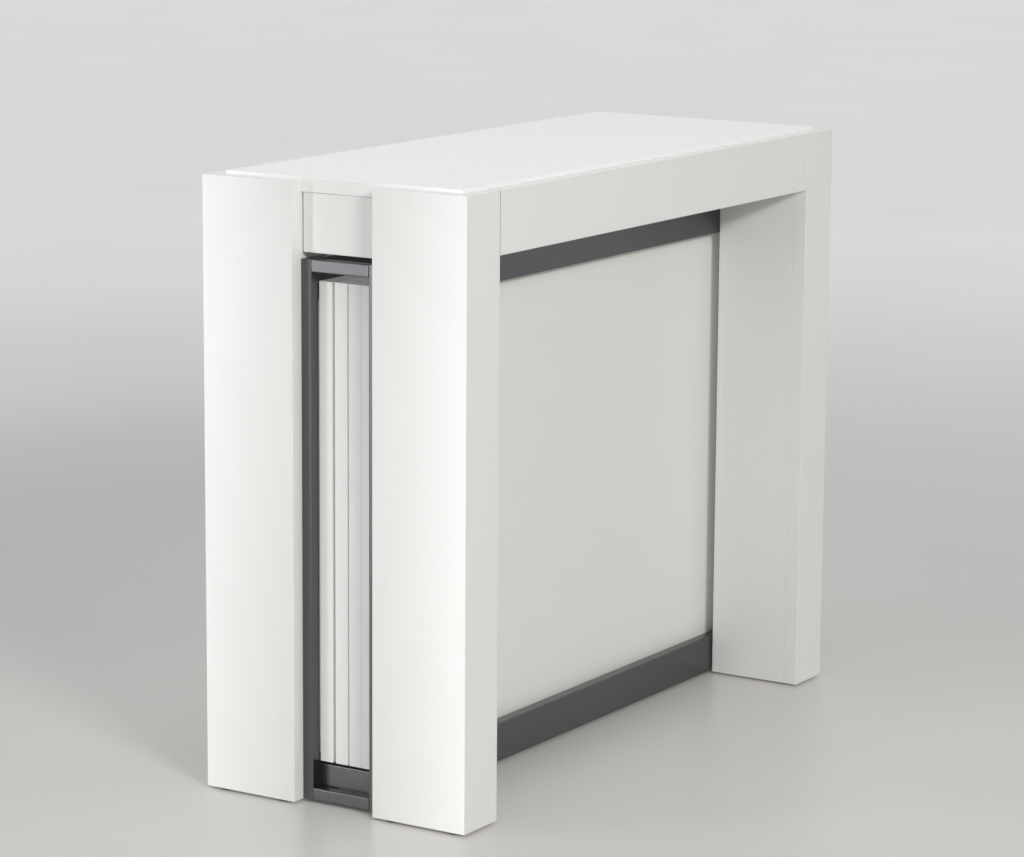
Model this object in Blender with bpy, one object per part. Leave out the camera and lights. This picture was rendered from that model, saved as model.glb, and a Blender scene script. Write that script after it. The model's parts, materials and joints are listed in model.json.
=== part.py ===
"""Extending console table, closed, with a steel rack that holds its leaves on edge.

Metres, +Z up. The origin is on the floor under the middle of the table. X runs along the table, -Y is the
front portal that pulls out, +Y is the rear portal that stays put with the top and the rack.
"""
from math import cos, pi, sin

import bmesh
import bpy
from mathutils import Vector

# Boards
BOARD = 0.019                 # thickness of the legs', aprons' and covers' boards
BOARD_EDGE = 0.0008           # rounding along a board's edges
TOP_THICKNESS = 0.018         # table top and leaves
TOP_LENGTH = 0.8604           # table top and leaves, along X
TOP_RIM = 0.004               # height of the top above the legs
TOP_GAP = 0.0008              # gap from the top's edge to the boards round it
LEG_WIDTH = 0.071             # one leg, along X
LEG_DEPTH = 0.131             # one leg, along Y
APRON_HEIGHT = 0.076
COVER_HEIGHT = 0.0707
COVER_REAR_GAP = 0.003        # from a side cover's free end to the rear leg
LEG_BASE_INSET = 0.001        # from a leg's lower edges up to the base board that closes it
LEG_BASE_GROOVE = 0.002       # how far that base board lets into the liner
SEAT_GAP = 0.0003             # between pieces that touch

# Leaves and their registration dowels
LEAF_COUNT = 4
LEAF_WIDTH = 0.5875           # stands upright in the rack
LEAF_REAR_GAP = 0.0013        # from the rear rail to the first leaf
LEAF_SPACES = (0.0042, 0.0020, 0.0003)  # between neighbouring leaves, from the rear
LEAF_FRONT_GAP = 0.0019       # from the last leaf to the front rail
LEAF_RECESS = 0.014           # from the left ring's outer face to the leaves' ends
LEAF_HEADROOM = 0.012         # from the leaves to the rings' upper tubes
DOWEL_RADIUS = 0.004
DOWEL_LENGTH = 0.008          # the part that stands out of a leaf
DOWEL_END_DISTANCE = 0.150    # from a leaf's end to its outer dowels
DOWEL_PLAY = 0.0003           # how much wider a dowel's hole is
DOWEL_SIDES = 12

# Rack
RACK_TUBE = 0.015             # square tube of the end rings, and thickness of the long rails
RACK_RAIL_HEIGHT = 0.050
RACK_WALL = 0.0015            # wall of the long rails' and cross bars' tube
RACK_EDGE = 0.0012            # rounding along a tube's edges
RACK_EDGE_STEPS = 2           # flats in each rounded edge of a drawn tube
RACK_INSET = 0.018            # from the legs' outer faces to a ring's outer face
RACK_FRONT_GAP = 0.0022       # from the front legs to the rack
RACK_COVER_GAP = 0.008        # from the rack up to the side covers
CROSS_BAR_HEIGHT = 0.028
CROSS_BAR_WIDTH = 0.028
PAD_THICKNESS = 0.0027
PAD_INSET = 0.002
FOOT_HEIGHT = 0.004
FOOT_RADIUS = 0.007
FOOT_END_DISTANCE = 0.014     # from a rail's end to the middle of a foot

# Leg glides
GLIDE_HEIGHT = 0.003
GLIDE_RADIUS = 0.008
GLIDE_TAPER = 0.001           # how much smaller a glide or a foot is at the floor
GLIDE_END_DISTANCE = 0.022    # from the ends of a leg's side board to the middle of a glide
ROUND_SIDES = 16

# Telescopic rails, packed side by side from the legs inwards
RAIL_COUNT = 10               # in one pack: one fixed to each portal, the rest travel
RAIL_WIDTH = 0.018
RAIL_HEIGHT = 0.056
RAIL_GAP = 0.0006             # between the bodies of neighbouring rails
RAIL_WALL = 0.002
RAIL_END_GAP = 0.002          # from a rail's free end to the apron
RAIL_PLATE = 0.003            # plate on the front rail's end, screwed to the apron
RAIL_PLATE_WIDTH = 0.040      # the part of it that stands out beside the rail
RAIL_PLATE_HEIGHT = 0.044
SLOT_MOUTH = 0.010            # height of a slot's mouth
SLOT_HEIGHT = 0.018           # height of a slot behind its lips
SLOT_LIP = 0.003
SLOT_DEPTH = 0.006            # of a slot behind its lips
SLOT_PLAY = 0.0004            # round a tongue in its slot

# Heights that follow
RACK_BOTTOM = FOOT_HEIGHT
CROSS_BAR_TOP = RACK_BOTTOM + RACK_TUBE + CROSS_BAR_HEIGHT
PAD_TOP = CROSS_BAR_TOP + SEAT_GAP + PAD_THICKNESS
LEAF_BOTTOM = PAD_TOP + SEAT_GAP
LEAF_TOP = LEAF_BOTTOM + LEAF_WIDTH
RACK_TOP = LEAF_TOP + LEAF_HEADROOM + RACK_TUBE
COVER_BOTTOM = RACK_TOP + RACK_COVER_GAP
COVER_TOP = COVER_BOTTOM + COVER_HEIGHT
TOP_BOTTOM = COVER_TOP + SEAT_GAP
TOP_SURFACE = TOP_BOTTOM + TOP_THICKNESS
LEG_BOTTOM = GLIDE_HEIGHT
LEG_TOP = TOP_SURFACE - TOP_RIM
RAIL_TOP = TOP_BOTTOM - SEAT_GAP

# Plan sizes that follow
LEAF_PACK = LEAF_COUNT * TOP_THICKNESS + LEAF_REAR_GAP + sum(LEAF_SPACES) + LEAF_FRONT_GAP
RACK_DEPTH = LEAF_PACK + 2 * RACK_TUBE
LENGTH = TOP_LENGTH + 2 * (BOARD + TOP_GAP)
DEPTH = 2 * LEG_DEPTH + RACK_FRONT_GAP + RACK_DEPTH + SEAT_GAP
HALF_LENGTH = LENGTH / 2
HALF_DEPTH = DEPTH / 2
LEG_INNER = HALF_LENGTH - LEG_WIDTH       # an inner leg face, from the middle
GAP_FACE = HALF_DEPTH - LEG_DEPTH         # a leg's face in the gap between the portals, from the middle
APRON_INNER = HALF_DEPTH - BOARD
RACK_REAR = GAP_FACE - SEAT_GAP
RACK_FRONT = RACK_REAR - RACK_DEPTH
RING_OUTER = HALF_LENGTH - RACK_INSET
RING_INNER = RING_OUTER - RACK_TUBE
RACK_RAIL_END = RING_INNER - SEAT_GAP
RAIL_LENGTH = 2 * APRON_INNER - SEAT_GAP - RAIL_END_GAP
RAIL_PITCH = RAIL_WIDTH + RAIL_GAP

LEFT = -1
RIGHT = 1
FRONT = -1
REAR = 1
ALONG_X = Vector((1, 0, 0))
ALONG_Y = Vector((0, 1, 0))
UP = Vector((0, 0, 1))
SIDES = (("left", LEFT), ("right", RIGHT))
PORTALS = (("front", FRONT), ("rear", REAR))


def clear_scene():
    """Remove what the file holds."""
    for item in list(bpy.data.objects):
        bpy.data.objects.remove(item, do_unlink=True)


def make_material(name, color, roughness, metallic):
    """A Principled material of one finish."""
    material = bpy.data.materials.new(name)
    material.use_nodes = True
    shader = material.node_tree.nodes["Principled BSDF"]
    shader.inputs["Base Color"].default_value = (*color, 1.0)
    shader.inputs["Roughness"].default_value = roughness
    shader.inputs["Metallic"].default_value = metallic
    return material


def make_carrier(name, place):
    """An empty that the pieces of one moving body hang on, placed on the body's slide axis."""
    carrier = bpy.data.objects.new(name, None)
    carrier.location = place
    bpy.context.scene.collection.objects.link(carrier)
    return carrier


def add_piece(name, shape, place, material, carrier=None):
    """Turn a bmesh, modelled about its own origin, into a named object at a place in the world."""
    bmesh.ops.recalc_face_normals(shape, faces=shape.faces)
    mesh = bpy.data.meshes.new(name)
    shape.to_mesh(mesh)
    shape.free()
    piece = bpy.data.objects.new(name, mesh)
    mesh.materials.append(material)
    bpy.context.scene.collection.objects.link(piece)
    piece.location = place
    if carrier is not None:
        piece.parent = carrier
        piece.location = Vector(place) - carrier.location
    return piece


def round_edges(piece, width, segments=2):
    """Round a piece's sharp edges."""
    rounding = piece.modifiers.new("rounded_edges", "BEVEL")
    rounding.width = width
    rounding.segments = segments
    rounding.limit_method = "ANGLE"
    return piece


def block(size):
    """A bmesh box about its own middle."""
    shape = bmesh.new()
    bmesh.ops.create_cube(shape, size=1.0)
    bmesh.ops.scale(shape, vec=size, verts=shape.verts)
    return shape


def between(name, low, high, edge, material, carrier=None):
    """A rounded straight-edged piece between two corners."""
    low = Vector(low)
    high = Vector(high)
    piece = add_piece(name, block(high - low), (low + high) / 2, material, carrier)
    return round_edges(piece, edge)


def span(side, near, far):
    """Low and high coordinates of a stretch that lies from near to far on one side of the middle."""
    return sorted((side * near, side * far))


def upright(outline, height):
    """A bmesh of a plan outline raised about its own mid height."""
    shape = bmesh.new()
    corners = [shape.verts.new((x, y, -height / 2)) for x, y in outline]
    shape.faces.new(corners)
    raised = bmesh.ops.extrude_face_region(shape, geom=shape.faces[:])
    top = [item for item in raised["geom"] if isinstance(item, bmesh.types.BMVert)]
    bmesh.ops.translate(shape, verts=top, vec=(0, 0, height))
    return shape


def turned_disc(radius, height):
    """A low disc, a little narrower at the floor."""
    shape = bmesh.new()
    bmesh.ops.create_cone(shape, cap_ends=True, segments=ROUND_SIDES, radius1=radius - GLIDE_TAPER,
                          radius2=radius, depth=height)
    return shape


def extrusion(loops, length, across, along):
    """A bmesh of a section, with its hollows, drawn out along one direction about its middle.

    The section's points give the distance across and the height.
    """
    shape = bmesh.new()
    near_end = along * (-length / 2)
    for loop in loops:
        corners = [shape.verts.new(near_end + across * wide + UP * high) for wide, high in loop]
        for first, second in zip(corners, corners[1:] + corners[:1]):
            shape.edges.new((first, second))
    bmesh.ops.triangle_fill(shape, use_beauty=True, edges=shape.edges[:])
    drawn = bmesh.ops.extrude_face_region(shape, geom=shape.faces[:])
    far_end = [item for item in drawn["geom"] if isinstance(item, bmesh.types.BMVert)]
    bmesh.ops.translate(shape, verts=far_end, vec=along * length)
    return shape


def tube_section(width, height):
    """Loops of a rectangular tube's section: an outline with rounded corners, then its bore."""
    outline = []
    corners = ((1, 1, 0.0), (-1, 1, 0.5 * pi), (-1, -1, pi), (1, -1, 1.5 * pi))
    for sign_x, sign_z, start in corners:
        middle_x = sign_x * (width / 2 - RACK_EDGE)
        middle_z = sign_z * (height / 2 - RACK_EDGE)
        for step in range(RACK_EDGE_STEPS + 1):
            angle = start + 0.5 * pi * step / RACK_EDGE_STEPS
            outline.append((middle_x + RACK_EDGE * cos(angle), middle_z + RACK_EDGE * sin(angle)))
    bore_x = width / 2 - RACK_WALL
    bore_z = height / 2 - RACK_WALL
    return [outline, [(bore_x, bore_z), (-bore_x, bore_z), (-bore_x, -bore_z), (bore_x, -bore_z)]]


def picture_frame(depth, width, height, tube):
    """A bmesh ring of square tube that stands across X, its four lengths mitred at the corners."""
    shape = bmesh.new()
    rows = []
    for x in (-depth / 2, depth / 2):
        for inset in (0.0, tube):
            y = width / 2 - inset
            z = height / 2 - inset
            corners = ((-y, -z), (y, -z), (y, z), (-y, z))
            rows.append([shape.verts.new((x, *corner)) for corner in corners])
    left_out, left_in, right_out, right_in = rows
    round_section = (left_out, left_in, right_in, right_out, left_out)
    for first, second in zip(round_section, round_section[1:]):
        for corner in range(len(first)):
            after = (corner + 1) % len(first)
            shape.faces.new((first[corner], first[after], second[after], second[corner]))
    return shape


def rail_section(side, has_tongue, has_slot):
    """Loops of a rail's section, measured from its face towards the legs: outline, then two hollows."""
    half = RAIL_HEIGHT / 2
    mouth = SLOT_MOUTH / 2
    slot = SLOT_HEIGHT / 2
    lip_back = RAIL_WIDTH - SLOT_LIP
    slot_back = lip_back - SLOT_DEPTH
    outline = [(0.0, -half), (RAIL_WIDTH, -half)]
    if has_slot:
        outline += [(RAIL_WIDTH, -mouth), (lip_back, -mouth), (lip_back, -slot), (slot_back, -slot)]
        outline += [(slot_back, slot), (lip_back, slot), (lip_back, mouth), (RAIL_WIDTH, mouth)]
    outline += [(RAIL_WIDTH, half), (0.0, half)]
    if has_tongue:
        neck = mouth - SLOT_PLAY
        head = slot - SLOT_PLAY
        head_near = -(RAIL_GAP + SLOT_LIP + SLOT_PLAY)
        head_far = -(RAIL_GAP + SLOT_LIP + SLOT_DEPTH - SLOT_PLAY)
        outline += [(0.0, neck), (head_near, neck), (head_near, head), (head_far, head)]
        outline += [(head_far, -head), (head_near, -head), (head_near, -neck), (0.0, -neck)]
    loops = [outline]
    hollow_near = RAIL_WALL
    hollow_far = RAIL_WIDTH - RAIL_WALL
    hollow_low = slot + RAIL_WALL
    hollow_high = half - RAIL_WALL
    for sign in (1, -1):
        low = sign * hollow_low
        high = sign * hollow_high
        loops.append([(hollow_near, low), (hollow_far, low), (hollow_far, high), (hollow_near, high)])
    return [[(-side * x, z) for x, z in loop] for loop in loops]


def make_guide(name, shape, place):
    """A hidden object that shapes a piece: a bmesh modelled about its own origin, at a place in the world."""
    bmesh.ops.recalc_face_normals(shape, faces=shape.faces)
    mesh = bpy.data.meshes.new(name)
    shape.to_mesh(mesh)
    shape.free()
    guide = bpy.data.objects.new(name, mesh)
    bpy.context.scene.collection.objects.link(guide)
    guide.location = place
    guide.hide_render = True
    guide.display_type = "WIRE"
    return guide


def guide_between(name, low, high):
    """A hidden straight-edged guide between two corners."""
    low = Vector(low)
    high = Vector(high)
    return make_guide(name, block(high - low), (low + high) / 2)


def dowel_row(name, radius, reach, place):
    """Guide object that holds one leaf's row of upright dowels or dowel holes."""
    outer = TOP_LENGTH / 2 - DOWEL_END_DISTANCE
    shape = bmesh.new()
    for x in (-outer, 0.0, outer):
        made = bmesh.ops.create_cone(shape, cap_ends=True, segments=DOWEL_SIDES, radius1=radius,
                                     radius2=radius, depth=2 * reach)
        bmesh.ops.translate(shape, verts=made["verts"], vec=(x, 0, 0))
    return make_guide(name, shape, place)


def combine(piece, guide, operation):
    """Join a guide's shape to a piece, or cut it out."""
    boolean = piece.modifiers.new(guide.name, "BOOLEAN")
    boolean.operation = operation
    boolean.solver = "EXACT"
    boolean.object = guide


def build_leg(portal_name, portal, side_name, side, material, carrier):
    """A leg's folded outer shell and its liner, which together box it in; the liner holds the base board."""
    def leg_plan(points):
        return [(side * (HALF_LENGTH - x), portal * (HALF_DEPTH - y)) for x, y in points]

    shell_plan = leg_plan([(0, 0), (LEG_WIDTH, 0), (LEG_WIDTH, BOARD), (BOARD, BOARD), (BOARD, LEG_DEPTH),
                           (0, LEG_DEPTH)])
    shell_height = LEG_TOP - LEG_BOTTOM
    shell = add_piece(f"{portal_name}_{side_name}_leg_shell", upright(shell_plan, shell_height),
                      (0, 0, LEG_BOTTOM + shell_height / 2), material, carrier)
    round_edges(shell, BOARD_EDGE)

    seat = BOARD + SEAT_GAP
    inner = LEG_WIDTH - BOARD
    gap_side = LEG_DEPTH - BOARD
    liner_plan = leg_plan([(LEG_WIDTH, seat), (LEG_WIDTH, LEG_DEPTH), (seat, LEG_DEPTH), (seat, gap_side),
                           (inner, gap_side), (inner, seat)])
    liner_height = TOP_BOTTOM - SEAT_GAP - LEG_BOTTOM
    liner = add_piece(f"{portal_name}_{side_name}_leg_liner", upright(liner_plan, liner_height),
                      (0, 0, LEG_BOTTOM + liner_height / 2), material, carrier)
    low_x, high_x = span(side, HALF_LENGTH - inner - LEG_BASE_GROOVE, HALF_LENGTH - seat)
    low_y, high_y = span(portal, HALF_DEPTH - gap_side - LEG_BASE_GROOVE, HALF_DEPTH - seat)
    base_bottom = LEG_BOTTOM + LEG_BASE_INSET
    base = guide_between(f"{portal_name}_{side_name}_leg_base_guide", (low_x, low_y, base_bottom),
                         (high_x, high_y, base_bottom + BOARD))
    combine(liner, base, "UNION")
    round_edges(liner, BOARD_EDGE)


def build_glides(portal_name, portal, side_name, side, material, carrier):
    """Two plastic glides under a leg's side board."""
    height = GLIDE_HEIGHT - SEAT_GAP
    x = side * (HALF_LENGTH - BOARD / 2)
    for end_name, inset in (("outer", GLIDE_END_DISTANCE), ("inner", LEG_DEPTH - GLIDE_END_DISTANCE)):
        y = portal * (HALF_DEPTH - inset)
        add_piece(f"{portal_name}_{side_name}_{end_name}_glide", turned_disc(GLIDE_RADIUS, height),
                  (x, y, height / 2), material, carrier)


def build_apron(portal_name, portal, material, carrier):
    """The board that joins a portal's legs, flush with their outer faces."""
    reach = LEG_INNER - SEAT_GAP
    low_y, high_y = span(portal, APRON_INNER, HALF_DEPTH)
    between(f"{portal_name}_apron", (-reach, low_y, LEG_TOP - APRON_HEIGHT), (reach, high_y, LEG_TOP),
            BOARD_EDGE, material, carrier)


def build_cover(side_name, side, material, carrier):
    """The board that closes the gap under an end of the top, fixed to the front leg."""
    outer = TOP_LENGTH / 2
    low_x, high_x = span(side, outer - BOARD, outer)
    between(f"{side_name}_side_cover", (low_x, -GAP_FACE + SEAT_GAP, COVER_BOTTOM),
            (high_x, GAP_FACE - COVER_REAR_GAP, COVER_TOP), BOARD_EDGE, material, carrier)


def build_top(material, carrier):
    """The table top, with dowel holes for the first leaf in its front edge."""
    reach_x = TOP_LENGTH / 2
    reach_y = APRON_INNER - TOP_GAP
    top = between("table_top", (-reach_x, -reach_y, TOP_BOTTOM), (reach_x, reach_y, TOP_SURFACE),
                  BOARD_EDGE, material, carrier)
    holes = dowel_row("table_top_hole_guide", DOWEL_RADIUS + DOWEL_PLAY, DOWEL_LENGTH + DOWEL_PLAY,
                      (0, -reach_y, (TOP_BOTTOM + TOP_SURFACE) / 2))
    holes.rotation_euler = UP.rotation_difference(ALONG_Y).to_euler()
    combine(top, holes, "DIFFERENCE")


def build_rail(side_name, side, number, name, y, material, carrier):
    """One telescopic rail: number 0 is screwed to the rear leg, the last one to the front apron."""
    section = rail_section(side, number > 0, number < RAIL_COUNT - 1)
    shape = extrusion(section, RAIL_LENGTH, ALONG_X, ALONG_Y)
    x = LEG_INNER - SEAT_GAP - number * RAIL_PITCH
    z = RAIL_TOP - RAIL_HEIGHT / 2
    rail = add_piece(f"{side_name}_{name}", shape, (side * x, y, z), material, carrier)
    if number == RAIL_COUNT - 1:
        low_x, high_x = span(side, x - RAIL_WIDTH - RAIL_PLATE_WIDTH, x - RAIL_WIDTH + RAIL_WALL)
        apron_end = y - RAIL_LENGTH / 2
        plate = guide_between(f"{side_name}_rail_plate_guide", (low_x, apron_end, z - RAIL_PLATE_HEIGHT / 2),
                              (high_x, apron_end + RAIL_PLATE, z + RAIL_PLATE_HEIGHT / 2))
        combine(rail, plate, "UNION")


def build_rack(steel, rubber, carrier):
    """The welded rack: end rings, long rails, cross bars with rubber pads, and feet."""
    middle_y = (RACK_FRONT + RACK_REAR) / 2
    height = RACK_TOP - RACK_BOTTOM
    tray_low = RACK_FRONT + RACK_TUBE + SEAT_GAP
    tray_high = RACK_REAR - RACK_TUBE - SEAT_GAP
    for side_name, side in SIDES:
        ring_place = (side * (RING_OUTER - RACK_TUBE / 2), middle_y, RACK_BOTTOM + height / 2)
        ring = add_piece(f"rack_{side_name}_ring", picture_frame(RACK_TUBE, RACK_DEPTH, height, RACK_TUBE),
                         ring_place, steel, carrier)
        round_edges(ring, RACK_EDGE)
        low_x, high_x = span(side, RACK_RAIL_END - CROSS_BAR_WIDTH, RACK_RAIL_END)
        bar_section = tube_section(CROSS_BAR_WIDTH, CROSS_BAR_HEIGHT)
        bar = extrusion(bar_section, tray_high - tray_low, ALONG_X, ALONG_Y)
        add_piece(f"rack_{side_name}_cross_bar", bar,
                  ((low_x + high_x) / 2, middle_y, CROSS_BAR_TOP - CROSS_BAR_HEIGHT / 2), steel, carrier)
        between(f"rack_{side_name}_pad", (low_x + PAD_INSET, tray_low, CROSS_BAR_TOP + SEAT_GAP),
                (high_x - PAD_INSET, tray_high, PAD_TOP), BOARD_EDGE / 2, rubber, carrier)
    for rail_name, low_y in (("front", RACK_FRONT), ("rear", RACK_REAR - RACK_TUBE)):
        for level, low_z in (("base", RACK_BOTTOM), ("top", RACK_TOP - RACK_RAIL_HEIGHT)):
            rail = extrusion(tube_section(RACK_TUBE, RACK_RAIL_HEIGHT), 2 * RACK_RAIL_END, ALONG_Y, ALONG_X)
            add_piece(f"rack_{rail_name}_{level}_rail", rail,
                      (0, low_y + RACK_TUBE / 2, low_z + RACK_RAIL_HEIGHT / 2), steel, carrier)
        for side_name, side in SIDES:
            foot_height = FOOT_HEIGHT - SEAT_GAP
            add_piece(f"rack_{rail_name}_{side_name}_foot", turned_disc(FOOT_RADIUS, foot_height),
                      (side * (RACK_RAIL_END - FOOT_END_DISTANCE), low_y + RACK_TUBE / 2, foot_height / 2),
                      rubber, carrier)


def build_leaves(material):
    """The leaves, from the rear of the rack forwards, each on its own carrier."""
    x = -RING_OUTER + LEAF_RECESS + TOP_LENGTH / 2
    z = (LEAF_BOTTOM + LEAF_TOP) / 2
    rear_face = RACK_REAR - RACK_TUBE - LEAF_REAR_GAP
    for number in range(1, LEAF_COUNT + 1):
        y = rear_face - TOP_THICKNESS / 2
        carrier = make_carrier(f"leaf_{number}_slide", (x, y, z))
        leaf = add_piece(f"leaf_{number}", block((TOP_LENGTH, TOP_THICKNESS, LEAF_WIDTH)), (x, y, z),
                         material, carrier)
        round_edges(leaf, BOARD_EDGE)
        dowels = dowel_row(f"leaf_{number}_dowel_guide", DOWEL_RADIUS, DOWEL_LENGTH, (x, y, LEAF_TOP))
        holes = dowel_row(f"leaf_{number}_hole_guide", DOWEL_RADIUS + DOWEL_PLAY, DOWEL_LENGTH + DOWEL_PLAY,
                          (x, y, LEAF_BOTTOM))
        combine(leaf, dowels, "UNION")
        combine(leaf, holes, "DIFFERENCE")
        if number < LEAF_COUNT:
            rear_face -= TOP_THICKNESS + LEAF_SPACES[number - 1]


def build_portals(white, plastic, carriers):
    """Both portals: legs, glides and aprons, and the side covers of the front one."""
    for portal_name, portal in PORTALS:
        carrier = carriers[portal_name]
        for side_name, side in SIDES:
            build_leg(portal_name, portal, side_name, side, white, carrier)
            build_glides(portal_name, portal, side_name, side, plastic, carrier)
        build_apron(portal_name, portal, white, carrier)
    for side_name, side in SIDES:
        build_cover(side_name, side, white, carriers["front"])


def build_rails(aluminium, carriers):
    """Both packs of telescopic rails, one body for each pair of travelling rails."""
    rear_y = APRON_INNER - SEAT_GAP - RAIL_LENGTH / 2
    last = RAIL_COUNT - 1
    for number in range(RAIL_COUNT):
        if number == 0:
            name, y, carrier = "fixed_rail", rear_y, carriers["rear"]
        elif number == last:
            name, y, carrier = "front_rail", -rear_y, carriers["front"]
        else:
            name, y = f"sliding_rail_{number}", 0.0
            carrier = make_carrier(f"rail_stage_{number}_slide", (0, 0, RAIL_TOP - RAIL_HEIGHT / 2))
        for side_name, side in SIDES:
            build_rail(side_name, side, number, name, y, aluminium, carrier)


def main():
    """Build the table, closed."""
    clear_scene()
    white = make_material("white_lacquer", (0.83, 0.84, 0.82), 0.38, 0.0)
    leaf_white = make_material("leaf_lacquer", (0.82, 0.83, 0.80), 0.40, 0.0)
    steel = make_material("anthracite_steel", (0.085, 0.085, 0.092), 0.42, 0.1)
    aluminium = make_material("rail_aluminium", (0.72, 0.73, 0.74), 0.34, 1.0)
    plastic = make_material("glide_plastic", (0.16, 0.16, 0.16), 0.55, 0.0)
    rubber = make_material("pad_rubber", (0.03, 0.03, 0.03), 0.80, 0.0)
    carriers = {"rear": make_carrier("rear_frame", (0, HALF_DEPTH, 0)),
                "front": make_carrier("extension_slide", (0, -HALF_DEPTH, RAIL_TOP - RAIL_HEIGHT / 2))}
    build_portals(white, plastic, carriers)
    build_top(white, carriers["rear"])
    build_rails(aluminium, carriers)
    build_rack(steel, rubber, carriers["rear"])
    build_leaves(leaf_white)


main()
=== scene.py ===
"""Looks of a white extending console table that stores its leaves in a steel rack.

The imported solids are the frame. A piece takes its place and size from a solid's box, rides on that solid's
body and stands for the plain solid. Base boards, dowels and screw heads stand for no solid and are added.
Metres, +Z up, in the part's own frame.
"""
import json
import logging
from abc import ABC, abstractmethod
from collections.abc import Iterable, Sequence
from dataclasses import dataclass
from enum import Enum
from math import atan2, cos, pi, radians, sin, tau

import bmesh
import bpy
from mathutils import Matrix, Vector

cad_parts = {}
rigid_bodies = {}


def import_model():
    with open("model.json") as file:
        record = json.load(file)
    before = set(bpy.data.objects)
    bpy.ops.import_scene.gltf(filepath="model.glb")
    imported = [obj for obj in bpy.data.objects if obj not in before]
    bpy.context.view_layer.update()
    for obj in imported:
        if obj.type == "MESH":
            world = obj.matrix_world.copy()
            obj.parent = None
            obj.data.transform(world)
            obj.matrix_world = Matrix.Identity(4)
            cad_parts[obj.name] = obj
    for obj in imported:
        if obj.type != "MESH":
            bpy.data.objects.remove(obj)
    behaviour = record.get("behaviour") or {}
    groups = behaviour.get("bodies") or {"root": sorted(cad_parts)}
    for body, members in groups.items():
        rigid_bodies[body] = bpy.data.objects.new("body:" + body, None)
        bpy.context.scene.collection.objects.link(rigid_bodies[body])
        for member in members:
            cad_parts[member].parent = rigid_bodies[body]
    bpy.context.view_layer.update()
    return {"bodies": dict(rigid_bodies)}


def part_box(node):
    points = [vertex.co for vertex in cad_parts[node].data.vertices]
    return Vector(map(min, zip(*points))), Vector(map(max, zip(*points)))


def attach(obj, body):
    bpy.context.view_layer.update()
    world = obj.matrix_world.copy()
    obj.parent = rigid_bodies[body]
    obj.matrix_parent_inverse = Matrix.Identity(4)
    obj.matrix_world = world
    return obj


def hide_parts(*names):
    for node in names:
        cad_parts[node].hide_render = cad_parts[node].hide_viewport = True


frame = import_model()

LOG = logging.getLogger("console_table")

Color = tuple[float, float, float]
Range = tuple[float, float]
Loop = Sequence[tuple[float, float]]
Point = Sequence[float]
Shape = bmesh.types.BMesh
Piece = bpy.types.Object
Material = bpy.types.Material
Socket = bpy.types.NodeSocket

X_AXIS = Vector((1.0, 0.0, 0.0))
Y_AXIS = Vector((0.0, 1.0, 0.0))
Z_AXIS = Vector((0.0, 0.0, 1.0))
AXES = (X_AXIS, Y_AXIS, Z_AXIS)
# An edge that turns more than this is rounded
SHARP_ANGLE = radians(30.0)
# Only the edges of a bar's ends turn more than this, because its long edges are rounded already
END_ANGLE = radians(60.0)
# A face looks in a direction when the cosine between them is above this
FACING = 0.7
# Gap between boards that sit on each other
SEAT = 0.0003
# Points in a turned ring, a multiple of 12 so that a hexagon keeps its corners
RING_POINTS = 36
# Places of the colour sockets on a Mix node, which has a set for each type of data
MIX_FACTOR, MIX_FIRST, MIX_SECOND, MIX_RESULT = 0, 6, 7, 2
BLACK = (0.0, 0.0, 0.0)
TABLE_MIDDLE = (0.0, 0.0, 0.4)


class Slot(Enum):
    """The record's material slots."""

    WHITE = "white_lacquer"
    LEAF = "leaf_lacquer"
    STEEL = "anthracite_steel"
    ALUMINIUM = "rail_aluminium"
    PLASTIC = "glide_plastic"
    RUBBER = "pad_rubber"


class Named(Enum):
    """A choice whose name is a word in the nodes' names."""

    @property
    def label(self) -> str:
        """The word for this choice."""
        return self.name.lower()


class Side(Named):
    """An end of the table, by the sign of its X."""

    LEFT = -1
    RIGHT = 1


class Portal(Named):
    """A pair of legs with its apron, by the sign of its Y."""

    FRONT = -1
    REAR = 1

    @property
    def body(self) -> str:
        """The body that this portal's pieces ride on."""
        return f"{self.label}_frame"


# Shader wiring


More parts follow.
